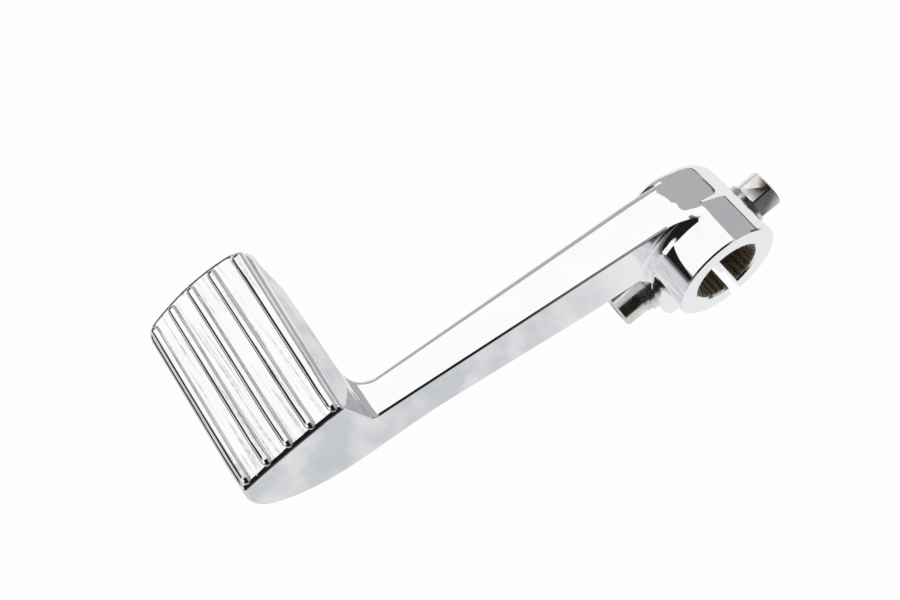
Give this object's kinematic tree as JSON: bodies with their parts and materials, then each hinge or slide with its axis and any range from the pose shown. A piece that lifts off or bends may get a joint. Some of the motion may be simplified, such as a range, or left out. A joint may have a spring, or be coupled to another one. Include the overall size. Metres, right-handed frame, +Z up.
{
  "type": "motorcycle brake pedal",
  "caption": "Cast brake pedal for a motorcycle: ribbed foot pad on a straight arm, with a split splined hub pinched by a screw and nut.",
  "frame": {"origin": "on the bore axis, in the hub's inboard face", "axes": "+X from the foot pad to the hub along the arm's flat top, +Y outboard along the bore, +Z up, the side that the foot presses on"},
  "size_m": [0.1607, 0.0635, 0.0577],
  "materials": {
    "lever_chrome": "polished, chrome plated casting",
    "screw_chrome": "bright plated",
    "nut_chrome": "bright plated",
    "washer_steel": "zinc plated"
  },
  "bodies": {
    "root": {"pedal_lever": "lever_chrome", "pinch_bolt": "screw_chrome", "pinch_nut": "nut_chrome", "head_washer": "washer_steel", "nut_washer": "washer_steel", "spring_washer": "washer_steel"}
  },
  "joints": []
}
